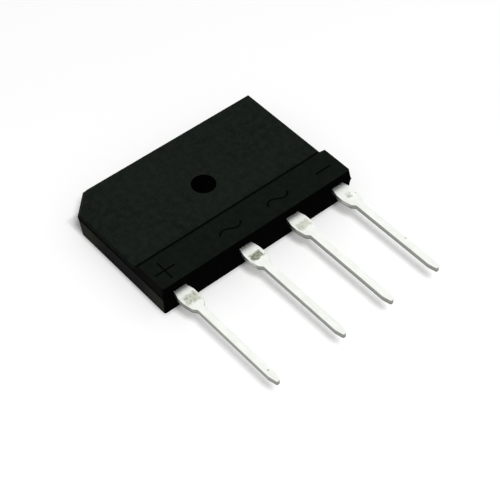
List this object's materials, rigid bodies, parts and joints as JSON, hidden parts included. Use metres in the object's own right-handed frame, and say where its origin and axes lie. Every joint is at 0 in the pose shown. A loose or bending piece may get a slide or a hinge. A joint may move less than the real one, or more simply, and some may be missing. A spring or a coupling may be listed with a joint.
{
  "type": "bridge rectifier",
  "caption": "Flat moulded bridge rectifier with a screw hole, a stepped lead side, a cut corner and a single row of tinned leads.",
  "frame": {"origin": "centre of the screw hole on the flat back face", "axes": "+Z out of the front face along the screw, -Y along the leads, +X from the positive lead to the negative lead"},
  "size_m": [0.03, 0.0374, 0.0046],
  "materials": {
    "epoxy_case": "black moulding epoxy, finely etched mould surface",
    "tinned_lead": "copper sheet with a matt tin plating",
    "copper_clip": "bare copper, stamped and formed",
    "silicon_chip": "glass-passivated silicon with an etched edge",
    "solder": "reflowed lead-rich solder"
  },
  "bodies": {
    "root": {"moulded_case": "epoxy_case", "lead_positive": "tinned_lead", "lead_ac_left": "tinned_lead", "lead_ac_right": "tinned_lead", "lead_negative": "tinned_lead", "chip_rear_left": "silicon_chip", "chip_rear_right": "silicon_chip", "chip_front_left": "silicon_chip", "chip_front_right": "silicon_chip", "clip_left": "copper_clip", "clip_right": "copper_clip", "negative_strap": "copper_clip", "base_solder_rear_left": "solder", "base_solder_rear_right": "solder", "base_solder_front_left": "solder", "base_solder_front_right": "solder", "top_solder_rear_left": "solder", "top_solder_rear_right": "solder", "top_solder_front_left": "solder", "top_solder_front_right": "solder", "foot_solder_left": "solder", "foot_solder_right": "solder", "foot_solder_strap": "solder"}
  },
  "joints": []
}
